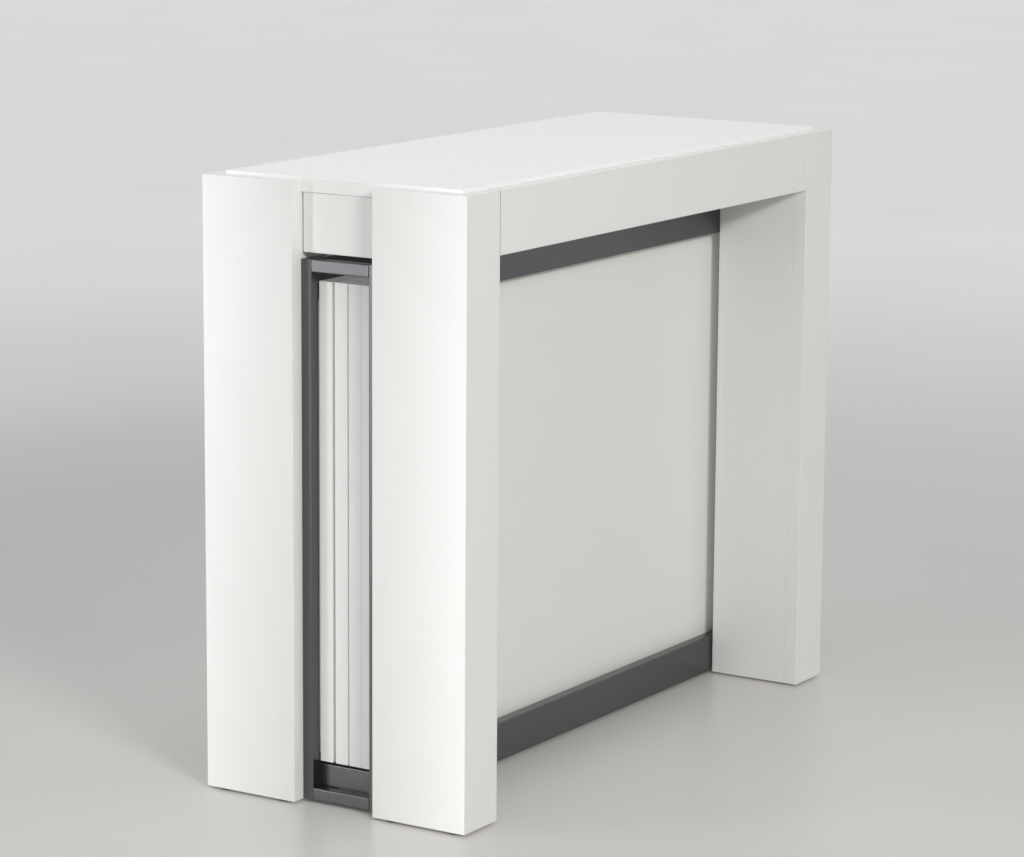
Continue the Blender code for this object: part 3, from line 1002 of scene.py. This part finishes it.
@dataclass
class PortalFrame:
    """A portal: two boxed legs on glides, the apron between them and, in front, the side covers."""

    portal: Portal
    finishes: Finishes
    edge: float = 0.0007
    edge_steps: int = 3
    inside_edge: float = 0.0004
    cover_edge: float = 0.0003
    apron_joint: float = 0.0001
    base_inset: float = 0.001
    glide_taper: float = 0.001
    glide_chamfer: float = 0.0003
    glide_round: float = 0.0008
    round_share: float = 0.3
    recess_depth: float = 0.0012
    recess_share: float = 0.35
    recess_floor: float = 0.8
    recess_lip: Range = (0.0003, 0.0002)

    def build(self) -> None:
        """Build the portal's pieces."""
        for side in Side:
            self.build_leg(side)
            for end in ("outer", "inner"):
                self.build_glide(f"{self.portal.label}_{side.label}_{end}_glide")
        self.build_apron(f"{self.portal.label}_apron")
        if self.portal is Portal.FRONT:
            for side in Side:
                self.build_cover(f"{side.label}_side_cover")

    @property
    def board(self) -> float:
        """Thickness of the boards."""
        return Room.of(f"{self.portal.label}_apron").size.y

    def build_cover(self, node: str) -> None:
        """A side cover, a small board with fine edges.

        Args:
            node: its node.
        """
        shape = ease_edges(box_shape(Room.of(node)), self.cover_edge)
        piece = make_piece(f"{node}_board", shape, self.finishes.white)
        hand_over(piece, self.portal.body, Slot.WHITE, node)

    def build_apron(self, node: str) -> None:
        """The apron, with rounded long edges and raw ends that butt on the legs.

        Args:
            node: its node.
        """
        room = Room.of(node)
        joint = X_AXIS * self.apron_joint
        section = eased_loop(room.section(X_AXIS), self.edge, self.edge_steps)
        shape = through_shape([section], Room(room.low + joint, room.high - joint), X_AXIS)
        piece = make_piece(f"{node}_board", shape, self.finishes.white)
        dress_faces(piece, self.finishes.raw_board, X_AXIS, -X_AXIS)
        # Its upper face painted greyer: painted shade under the top's rim
        dress_faces(piece, self.finishes.sealed_end, Z_AXIS)
        hand_over(piece, self.portal.body, Slot.WHITE, node)

    def plan(self, side: Side, points: Loop) -> Loop:
        """Plan points measured inwards from a leg's outer corner.

        Args:
            side: the leg's end of the table.
            points: distances from the corner along X and Y.

        Returns:
            The points in the part's frame.
        """
        room = Room.of(f"{self.portal.label}_{side.label}_leg_shell")
        corner_x = room.high.x if side is Side.RIGHT else room.low.x
        corner_y = room.high.y if self.portal is Portal.REAR else room.low.y
        return [(corner_x - side.value * x, corner_y - self.portal.value * y) for x, y in points]

    def build_leg(self, side: Side) -> None:
        """A leg's folded shell, the liner that boxes it in, and its base board.

        Args:
            side: the leg's end of the table.
        """
        name = f"{self.portal.label}_{side.label}_leg"
        room = Room.of(f"{name}_shell")
        width, depth = room.size.xy
        board = self.board
        seat, inner, gap_side = board + SEAT, width - board, depth - board
        shell = [(0, 0), (width, 0), (width, board), (board, board), (board, depth), (0, depth)]
        liner = [(width, seat), (width, depth), (seat, depth), (seat, gap_side), (inner, gap_side),
                 (inner, seat)]
        self.build_upright(f"{name}_shell", self.plan(side, shell))
        self.build_upright(f"{name}_liner", self.plan(side, liner))
        corners = self.plan(side, [(seat, seat), (inner - SEAT, gap_side - SEAT)])
        (left, right), (front, rear) = (sorted(ends) for ends in zip(*corners))
        bottom = room.low.z + self.base_inset
        base = box_shape(Room(Vector((left, front, bottom)), Vector((right, rear, bottom + board))))
        piece = make_piece(f"{name}_base", ease_edges(base, self.inside_edge), self.finishes.white)
        hand_over(piece, self.portal.body, Slot.WHITE)

    def build_upright(self, node: str, plan: Loop) -> None:
        """A board of a given plan, as high as its node.

        Args:
            node: the node.
            plan: the plan's corners.
        """
        room = Room.of(node)
        shape = drawn_shape([plan], X_AXIS, Y_AXIS, Z_AXIS * room.low.z, Z_AXIS * room.high.z)
        piece = make_piece(f"{node}_board", ease_edges(shape, self.edge), self.finishes.white)
        # Its upper end painted greyer: painted shade under the top's rim
        dress_faces(piece, self.finishes.sealed_end, Z_AXIS)
        hand_over(piece, self.portal.body, Slot.WHITE, node)

    def build_glide(self, node: str) -> None:
        """A turned nylon glide with a nail recess underneath.

        Args:
            node: the glide's node.
        """
        room = Room.of(node)
        radius, height = room.size.x / 2, room.size.z
        foot = radius - self.glide_taper
        curve = self.glide_round * self.round_share
        recess = radius * self.recess_share
        lip_width, lip_height = self.recess_lip
        profile = [(recess * self.recess_floor, self.recess_depth), (recess, self.recess_depth),
                   (recess, lip_height), (recess + lip_width, 0.0), (foot - self.glide_round, 0.0),
                   (foot - curve, curve), (foot, self.glide_round),
                   (radius, height - self.glide_chamfer), (radius - self.glide_chamfer, height)]
        piece = make_piece(f"{node}_turned", turned_shape(profile, room.foot), self.finishes.nylon)
        hand_over(piece, self.portal.body, Slot.PLASTIC, node)


@dataclass
class Dowelling:
    """The dowels in a board's edge and their holes, three in a row along X."""

    radius: float = 0.004
    reach: float = 0.008
    play: float = 0.0003
    end_distance: float = 0.150
    flutes: int = 18
    flute_points: int = 4
    flute_depth: float = 0.0003
    chamfer: float = 0.0008

    def row(self, room: Room) -> list[float]:
        """X of each dowel in a board that fills a space."""
        return [room.low.x + self.end_distance, room.middle.x, room.high.x - self.end_distance]

    def dowel(self, place: Vector) -> Shape:
        """A fluted dowel that stands up out of a board.

        Args:
            place: the middle of its foot.

        Returns:
            The shape.
        """
        steps = self.flutes * self.flute_points
        loop = []
        for step in range(steps):
            angle = tau * step / steps
            radius = self.radius - self.flute_depth * (0.5 + 0.5 * cos(self.flutes * angle))
            loop.append((radius * cos(angle), radius * sin(angle)))
        shape = drawn_shape([loop], X_AXIS, Y_AXIS, place, place + Z_AXIS * self.reach)
        middle = place.z + self.reach / 2
        rim = [vert for vert in shape.verts if vert.co.z > middle]
        bmesh.ops.recalc_face_normals(shape, faces=shape.faces)
        end = [face for face in shape.faces
               if face.normal.z > FACING and face.calc_center_median().z > middle]
        bmesh.ops.inset_region(shape, faces=end, thickness=self.chamfer)
        for vert in rim:
            vert.co.z -= self.chamfer
        return shape

    def hole(self, place: Vector, direction: Vector) -> Shape:
        """A round cutter for a dowel hole.

        Args:
            place: the middle of the hole's mouth.
            direction: the way into the board.

        Returns:
            The shape.
        """
        depth = self.reach + self.play
        radius = self.radius + self.play
        return turned_shape([(radius, -depth), (radius, depth)], place, direction)


@dataclass
class TableTop:
    """The fixed top board, with dowel holes in its front edge."""

    finishes: Finishes
    dowelling: Dowelling
    edge: float = 0.0010
    edge_steps: int = 4

    def build(self) -> None:
        """Build the board."""
        room = Room.of("table_top")
        shape = ease_edges(box_shape(room), self.edge, self.edge_steps)
        piece = make_piece("table_top_board", shape, self.finishes.white)
        # Side faces painted lighter than the top: a painted highlight on the lit rim
        dress_faces(piece, self.finishes.edging, X_AXIS, -X_AXIS, Y_AXIS, -Y_AXIS)
        mouths = [Vector((x, room.low.y, room.middle.z)) for x in self.dowelling.row(room)]
        holes = gather([self.dowelling.hole(mouth, Y_AXIS) for mouth in mouths])
        cut(piece, holes, self.finishes.raw_board)
        hand_over(piece, Portal.REAR.body, Slot.WHITE, "table_top")


@dataclass
class Leaf:
    """An extension leaf on edge, with fluted dowels above and dowel holes below."""

    number: int
    finishes: Finishes
    dowelling: Dowelling
    edge: float = 0.0003
    edge_steps: int = 4

    def build(self) -> None:
        """Build the board and its dowels."""
        node = f"leaf_{self.number}"
        room = Room.of(node)
        row = self.dowelling.row(room)
        middle = room.middle.y
        board_top = room.high.z - self.dowelling.reach
        board = box_shape(Room(room.low, Vector((room.high.x, room.high.y, board_top))))
        shape = ease_edges(board, self.edge, self.edge_steps)
        piece = make_piece(f"{node}_board", shape, self.finishes.leaf)
        # Ends, top and bottom painted lighter than the faces: a painted highlight
        dress_faces(piece, self.finishes.edging, X_AXIS, -X_AXIS, Z_AXIS, -Z_AXIS)
        holes = gather([self.dowelling.hole(Vector((x, middle, room.low.z)), Z_AXIS) for x in row])
        cut(piece, holes, self.finishes.raw_board)
        hand_over(piece, node, Slot.LEAF, node)
        dowels = gather([self.dowelling.dowel(Vector((x, middle, board_top))) for x in row])
        hand_over(make_piece(f"{node}_dowels", dowels, self.finishes.beech), node, None)


@dataclass
class LeafRack:
    """The welded rack: end rings, long rails and cross bars of tube, rubber strips and feet."""

    finishes: Finishes
    corner: float = 0.0016
    corner_steps: int = 4
    end_edge: float = 0.0003
    end_steps: int = 2
    wall: float = 0.0015
    seam: float = 0.00012
    rib_count: int = 9
    rib_depth: float = 0.0006
    # A rib's corners, in shares of the ribs' pitch and depth
    rib_profile: Loop = ((0.0, 0.0), (0.18, 1.0), (0.62, 1.0), (0.80, 0.0))
    # A foot's rings up to its rim, as shares of its radius with heights in metres, and then its rim
    foot_profile: Loop = ((0.18, 0.0010), (0.38, 0.0010), (0.45, 0.0), (0.74, 0.0), (0.83, 0.0003),
                          (0.86, 0.0008))
    rim_share: float = 0.97
    rim_height: float = 0.0004

    def build(self) -> None:
        """Build the rack's pieces."""
        for side in Side:
            self.build_ring(f"rack_{side.label}_ring")
            self.build_tube(f"rack_{side.label}_cross_bar", Y_AXIS)
            self.build_strip(f"rack_{side.label}_pad")
        for portal in Portal:
            for level in ("base", "top"):
                self.build_tube(f"rack_{portal.label}_{level}_rail", X_AXIS)
            for side in Side:
                self.build_foot(f"rack_{portal.label}_{side.label}_foot")

    def hand_steel(self, name: str, shape: Shape, node: str) -> None:
        """Make a steel piece that stands for a node, and hand it over."""
        hand_over(make_piece(name, shape, self.finishes.steel), Portal.REAR.body, Slot.STEEL, node)

    def hand_rubber(self, name: str, shape: Shape, node: str) -> None:
        """Make a rubber piece that stands for a node, and hand it over."""
        hand_over(make_piece(name, shape, self.finishes.rubber), Portal.REAR.body, Slot.RUBBER, node)

    def bar(self, room: Room, along: Vector) -> Shape:
        """A closed length of square tube that fills a space along an axis, with rounded edges."""
        outline = eased_loop(room.section(along), self.corner, self.corner_steps)
        return ease_edges(through_shape([outline], room, along), self.end_edge, self.end_steps, END_ANGLE)

    def build_ring(self, node: str) -> None:
        """An end ring: two posts with a tube butted between them at the head and at the foot.

        Args:
            node: the ring's node.
        """
        room = Room.of(node)
        low, high, tube = room.low, room.high, room.size.x
        butt = tube + self.seam
        bars = []
        for y in (low.y, high.y - tube):
            post = Room(Vector((low.x, y, low.z)), Vector((high.x, y + tube, high.z)))
            bars.append(self.bar(post, Z_AXIS))
        for z in (low.z, high.z - tube):
            between = Room(Vector((low.x, low.y + butt, z)), Vector((high.x, high.y - butt, z + tube)))
            bars.append(self.bar(between, Y_AXIS))
        self.hand_steel(f"{node}_welded", gather(bars), node)

    def build_tube(self, node: str, along: Vector) -> None:
        """A length of rectangular tube, open at its ends.

        Args:
            node: its node.
            along: the direction that it runs in.
        """
        room = Room.of(node)
        outline = eased_loop(room.section(along), self.corner, self.corner_steps)
        bore = room.section(along, self.wall)
        self.hand_steel(f"{node}_tube", through_shape([outline, bore], room, along), node)

    def build_strip(self, node: str) -> None:
        """A rubber strip, ribbed on top, that the leaves stand on.

        Args:
            node: its node.
        """
        room = Room.of(node)
        right, top = room.size.x / 2, room.size.z / 2
        valley = top - self.rib_depth
        pitch = room.size.x / self.rib_count
        outline = [(-right, -top), (right, -top)]
        for rib in range(self.rib_count):
            start = right - rib * pitch
            for share, level in self.rib_profile:
                outline.append((start - pitch * share, valley + self.rib_depth * level))
        outline.append((-right, valley))
        self.hand_rubber(f"{node}_strip", through_shape([outline], room, Y_AXIS), node)

    def build_foot(self, node: str) -> None:
        """A round rubber foot with a dished underside.

        Args:
            node: its node.
        """
        room = Room.of(node)
        radius, height = room.size.x / 2, room.size.z
        profile = [(radius * share, level) for share, level in self.foot_profile]
        profile += [(radius, height - self.rim_height), (radius * self.rim_share, height)]
        self.hand_rubber(f"{node}_moulded", turned_shape(profile, room.foot), node)


class RailKind(Enum):
    """What a rail of a pack is, by whether it has a tongue and whether it has a slot."""

    FIXED = (False, True)
    SLIDING = (True, True)
    FRONT = (True, False)

    def __init__(self, has_tongue: bool, has_slot: bool) -> None:
        """Keep what the rail has."""
        self.has_tongue = has_tongue
        self.has_slot = has_slot


@dataclass(frozen=True)
class Rail:
    """A rail: its node, the body that it rides on and what it is."""

    node: str
    body: str
    kind: RailKind

    @property
    def room(self) -> Room:
        """The space that it fills at rest."""
        return Room.of(self.node)


@dataclass
class RailPack:
    """The telescopic rails at one end of the table, side by side from the legs inwards."""

    side: Side
    finishes: Finishes
    stages: int = 8
    width: float = 0.018
    gap: float = 0.0006
    wall: float = 0.002
    mouth: float = 0.010
    slot_height: float = 0.018
    slot_depth: float = 0.006
    lip: float = 0.003
    play: float = 0.0004
    corner: float = 0.0004
    corner_steps: int = 2
    plate: float = 0.003
    plate_width: float = 0.040
    plate_height: float = 0.044
    plate_joint: float = 0.0001
    screw_radius: float = 0.0040
    screw_height: float = 0.0022
    # A screw head's rings, in shares of its radius and height, and which of them are its hexagon socket
    screw_profile: Loop = ((1.0, 0.0), (1.0, 0.30), (0.93, 0.68), (0.72, 0.95), (0.50, 1.0), (0.40, 1.0),
                           (0.38, 0.25))
    screw_socket: Sequence[int] = (5, 6)
    # Screws in the slot: where they stand along the rail, and the share of the play that they take up
    slot_screws: Sequence[float] = (0.62, 0.76, 0.93)
    slot_screw_share: float = 0.6
    # Screws in the plate, in shares of its width from the rail and of its height from its middle
    plate_screw_across: float = 0.55
    plate_screw_up: float = 0.28

    def build(self) -> None:
        """Build the rails and their screws."""
        label = self.side.label
        self.build_rail(Rail(f"{label}_fixed_rail", Portal.REAR.body, RailKind.FIXED))
        for number in range(1, self.stages + 1):
            node = f"{label}_sliding_rail_{number}"
            self.build_rail(Rail(node, f"rail_stage_{number}", RailKind.SLIDING))
        self.build_rail(Rail(f"{label}_front_rail", Portal.FRONT.body, RailKind.FRONT))

    @property
    def tongue(self) -> float:
        """How far a rail's tongue stands out of its face."""
        return self.gap + self.lip + self.slot_depth - self.play

    def inwards(self, rail: Rail, distance: float) -> float:
        """X at a distance from a rail's leg-side face, towards the middle of the table.

        Args:
            rail: the rail.
            distance: the distance.

        Returns:
            The X.
        """
        outer = rail.room.high.x if self.side is Side.RIGHT else rail.room.low.x
        tongue = self.tongue if rail.kind.has_tongue else 0.0
        return outer - self.side.value * (tongue + distance)

    def section(self, rail: Rail) -> list[Loop]:
        """A rail's section, measured from its leg-side face and from its mid height.

        Args:
            rail: the rail.

        Returns:
            The outline and the two hollows.
        """
        half, mouth, slot = rail.room.size.z / 2, self.mouth / 2, self.slot_height / 2
        lip_back = self.width - self.lip
        slot_back = lip_back - self.slot_depth
        outline = [(0.0, -half), (self.width, -half)]
        if rail.kind.has_slot:
            outline += mirrored([(self.width, -mouth), (lip_back, -mouth), (lip_back, -slot),
                                 (slot_back, -slot)])
        outline += [(self.width, half), (0.0, half)]
        if rail.kind.has_tongue:
            neck, head = mouth - self.play, slot - self.play
            near = -(self.gap + self.lip + self.play)
            outline += mirrored([(0.0, neck), (near, neck), (near, head), (-self.tongue, head)])
        loops = [outline]
        inner, outer = self.wall, self.width - self.wall
        for sign in (1, -1):
            low, high = sign * (slot + self.wall), sign * (half - self.wall)
            loops.append([(inner, low), (outer, low), (outer, high), (inner, high)])
        placed = [[(-self.side.value * x, z) for x, z in loop] for loop in loops]
        return [eased_loop(loop, self.corner, self.corner_steps) for loop in placed]

    def build_rail(self, rail: Rail) -> None:
        """One rail, with its screws where it is fixed to a portal.

        Args:
            rail: the rail.
        """
        room = rail.room
        start = Vector((self.inwards(rail, 0.0), room.low.y, room.middle.z))
        shapes = [drawn_shape(self.section(rail), X_AXIS, Z_AXIS, start, start + Y_AXIS * room.size.y)]
        if rail.kind is RailKind.FRONT:
            shapes.append(self.end_plate(rail))
        piece = make_piece(f"{rail.node}_extrusion", gather(shapes), self.finishes.aluminium)
        hand_over(piece, rail.body, Slot.ALUMINIUM, rail.node)
        if rail.kind is RailKind.FIXED:
            self.build_slot_screws(rail)
        elif rail.kind is RailKind.FRONT:
            self.build_plate_screws(rail)

    def end_plate(self, rail: Rail) -> Shape:
        """The plate on the front rail's end that is screwed to the apron.

        Args:
            rail: the front rail.

        Returns:
            The shape.
        """
        edges = (self.width + self.plate_joint, self.width + self.plate_width)
        left, right = sorted(self.inwards(rail, edge) for edge in edges)
        front, middle, half = rail.room.low.y, rail.room.middle.z, self.plate_height / 2
        low = Vector((left, front, middle - half))
        high = Vector((right, front + self.plate, middle + half))
        return ease_edges(box_shape(Room(low, high)), self.corner)

    def screw(self, place: Vector, direction: Vector, height: float) -> Shape:
        """A screw head of a height that stands on a place and looks in a direction."""
        profile = [(self.screw_radius * share, height * level) for share, level in self.screw_profile]
        return turned_shape(profile, place, direction, self.screw_socket)

    def build_slot_screws(self, rail: Rail) -> None:
        """Low screw heads in the fixed rail's slot, which hold it to the leg.

        Args:
            rail: the fixed rail.
        """
        room = rail.room
        seat = self.inwards(rail, self.width - self.lip - self.slot_depth)
        height = self.play * self.slot_screw_share
        heads = []
        for share in self.slot_screws:
            place = Vector((seat, room.low.y + room.size.y * share, room.middle.z))
            heads.append(self.screw(place, X_AXIS * -self.side.value, height))
        piece = make_piece(f"{rail.node}_screws", gather(heads), self.finishes.zinc)
        hand_over(piece, rail.body, None)

    def build_plate_screws(self, rail: Rail) -> None:
        """Screws that hold the front rail's plate to the apron.

        Args:
            rail: the front rail.
        """
        x = self.inwards(rail, self.width + self.plate_width * self.plate_screw_across)
        y = rail.room.low.y + self.plate
        rise = self.plate_height * self.plate_screw_up
        places = [Vector((x, y, rail.room.middle.z + shift)) for shift in (-rise, rise)]
        heads = gather([self.screw(place, Y_AXIS, self.screw_height) for place in places])
        hand_over(make_piece(f"{rail.node}_plate_screws", heads, self.finishes.zinc), rail.body, None)


# Studio


class Feeds(Enum):
    """Which part of a surface's look a light feeds."""

    ALL = "all"
    MATT = "matt"
    GLOSS = "gloss"


class Gel(Enum):
    """The colours of the studio's lights."""

    NEUTRAL = (1.0, 1.0, 1.0)
    WARM = (1.0, 0.995, 0.97)
    COOL = (0.97, 0.99, 1.0)
    BLUE = (0.97, 0.98, 1.0)


@dataclass(frozen=True)
class StudioLight(ABC):
    """A light that looks at a point and isn't seen itself."""

    name: str
    gel: Gel
    power: float
    size: tuple[float, float]
    place: Point
    aim: Point = TABLE_MIDDLE
    feeds: Feeds = Feeds.ALL

    @abstractmethod
    def lamp(self) -> bpy.types.Light:
        """Make what shines."""

    @property
    def throw(self) -> Vector:
        """The way from the light to its aim."""
        return Vector(self.aim) - Vector(self.place)

    @property
    def squeeze(self) -> float:
        """How much narrower it is made than its lamp."""
        return 1.0

    def build(self) -> None:
        """Put the light in the scene."""
        lamp = self.lamp()
        lamp.energy = self.power
        lamp.color = self.gel.value
        light = bpy.data.objects.new(self.name, lamp)
        light.location = self.place
        light.rotation_euler = self.throw.to_track_quat("-Z", "Y").to_euler()
        light.scale.x = self.squeeze
        light.visible_camera = False
        light.visible_diffuse = self.feeds is not Feeds.GLOSS
        light.visible_glossy = self.feeds is not Feeds.MATT
        bpy.context.scene.collection.objects.link(light)


@dataclass(frozen=True)
class Softbox(StudioLight):
    """An even rectangle of light, of a width and a height."""

    def lamp(self) -> bpy.types.Light:
        """Make the rectangle.

        Returns:
            The lamp.
        """
        lamp = bpy.data.lights.new(self.name, "AREA")
        lamp.shape = "RECTANGLE"
        lamp.size, lamp.size_y = self.size
        return lamp


@dataclass(frozen=True)
class SlitLight(StudioLight):
    """A far light behind a slit: its patch at the aim has a half width, a half height and soft sides."""

    feeds: Feeds = Feeds.MATT
    softness: float = 1.0
    shades: bool = True
    radius: float = 0.12

    @property
    def squeeze(self) -> float:
        """The slit's width as a share of its height."""
        return self.size[0] / self.size[1]

    def lamp(self) -> bpy.types.Light:
        """Make the cone that the slit narrows.

        Returns:
            The lamp.
        """
        lamp = bpy.data.lights.new(self.name, "SPOT")
        lamp.spot_size = 2 * atan2(self.size[1], self.throw.length)
        lamp.spot_blend = self.softness
        lamp.shadow_soft_size = self.radius
        lamp.use_shadow = self.shades
        return lamp


@dataclass
class Studio:
    """A pale floor under soft light."""

    finishes: Finishes
    floor_half: float = 40.0
    backdrop: Color = (0.80, 0.80, 0.81)
    ambient: float = 0.385
    lights: tuple[StudioLight, ...] = (
        Softbox("key_left_rear", Gel.COOL, 19.0, (0.22, 2.3), (-2.9, 2.2, 1.16), (-0.2, 0.0, 1.16)),
        Softbox("card_left_rear", Gel.BLUE, 2.0, (0.30, 0.50), (-2.56, 1.49, 0.25), (-0.43, 0.0, 0.62),
                Feeds.GLOSS),
        Softbox("fill_front_left", Gel.WARM, 262.0, (1.8, 0.7), (-3.6, -5.8, 3.3), feeds=Feeds.MATT),
        Softbox("overhead", Gel.NEUTRAL, 28.0, (2.0, 2.0), (-0.6, 0.0, 3.4)),
        SlitLight("slit_left_rear", Gel.COOL, 9700.0, (0.30, 1.2), (-24.0, -0.13, 0.28),
                  (-0.45, 0.33, 0.28)),
        SlitLight("slit_left_front", Gel.COOL, 12000.0, (0.30, 1.2), (-24.0, 0.13, 0.28),
                  (-0.45, -0.33, 0.28)),
        SlitLight("slit_gap", Gel.COOL, 2500.0, (0.050, 0.40), (-24.0, 0.0, 0.30), (-0.45, 0.0, 0.30),
                  softness=0.5),
        SlitLight("fill_right_rear", Gel.NEUTRAL, 5350.0, (1.2, 1.2), (14.0, 11.8, 8.8), shades=False),
    )

    def build(self) -> None:
        """Build the floor, the lights and the surroundings."""
        self.build_floor()
        for light in self.lights:
            light.build()
        self.build_surroundings()
        bpy.context.scene.view_settings.view_transform = "Standard"

    def build_floor(self) -> None:
        """A wide plain floor."""
        shape = bmesh.new()
        bmesh.ops.create_grid(shape, x_segments=1, y_segments=1, size=self.floor_half)
        make_piece("floor", shape, self.finishes.floor)

    def build_surroundings(self) -> None:
        """Even light from all round, with a pale backdrop for the camera and in reflections."""
        world = bpy.data.worlds.new("surroundings")
        world.use_nodes = True
        wiring = Wiring(world.node_tree)
        background = world.node_tree.nodes["Background"].inputs
        wiring.join(self.backdrop, background["Color"])
        wiring.join(wiring.spread(wiring.seen(), self.ambient, 1.0), background["Strength"])
        bpy.context.scene.world = world


@dataclass(frozen=True)
class Viewpoint:
    """The camera, where the photograph was taken from, with its angles in degrees and its lens in mm."""

    place: Point = (-3.8656, -2.4081, 1.2649)
    turn: float = 57.723
    dip: float = 10.770
    roll: float = 0.392
    lens: float = 126.84
    sensor: float = 36.0
    sight: float = 200.0

    def build(self) -> None:
        """Put the camera in the scene."""
        turn, dip, roll = radians(self.turn), radians(self.dip), radians(self.roll)
        right = Vector((cos(turn), -sin(turn), 0.0))
        level = Vector((sin(turn), cos(turn), 0.0))
        ahead = level * cos(dip) - Z_AXIS * sin(dip)
        up = Z_AXIS * cos(dip) + level * sin(dip)
        leaned_right = right * cos(roll) + up * sin(roll)
        leaned_up = up * cos(roll) - right * sin(roll)
        lens = bpy.data.cameras.new("viewpoint")
        lens.lens = self.lens
        lens.sensor_width = self.sensor
        lens.sensor_fit = "HORIZONTAL"
        lens.clip_end = self.sight
        camera = bpy.data.objects.new("viewpoint", lens)
        axes = Matrix((leaned_right, leaned_up, -ahead)).transposed().to_4x4()
        camera.matrix_world = Matrix.Translation(self.place) @ axes
        bpy.context.scene.collection.objects.link(camera)
        bpy.context.scene.camera = camera


def main() -> None:
    """Dress the table and set up the studio."""
    logging.basicConfig(level=logging.INFO, format="%(message)s")
    finishes = Finishes(SharedEffects())
    dowelling = Dowelling()
    for portal in Portal:
        PortalFrame(portal, finishes).build()
    TableTop(finishes, dowelling).build()
    LeafRack(finishes).build()
    leaves = [body for body in frame["bodies"] if body.startswith("leaf_")]
    for number in range(1, len(leaves) + 1):
        Leaf(number, finishes, dowelling).build()
    for side in Side:
        RailPack(side, finishes).build()
    Studio(finishes).build()
    Viewpoint().build()


if __name__ == "__main__":
    main()
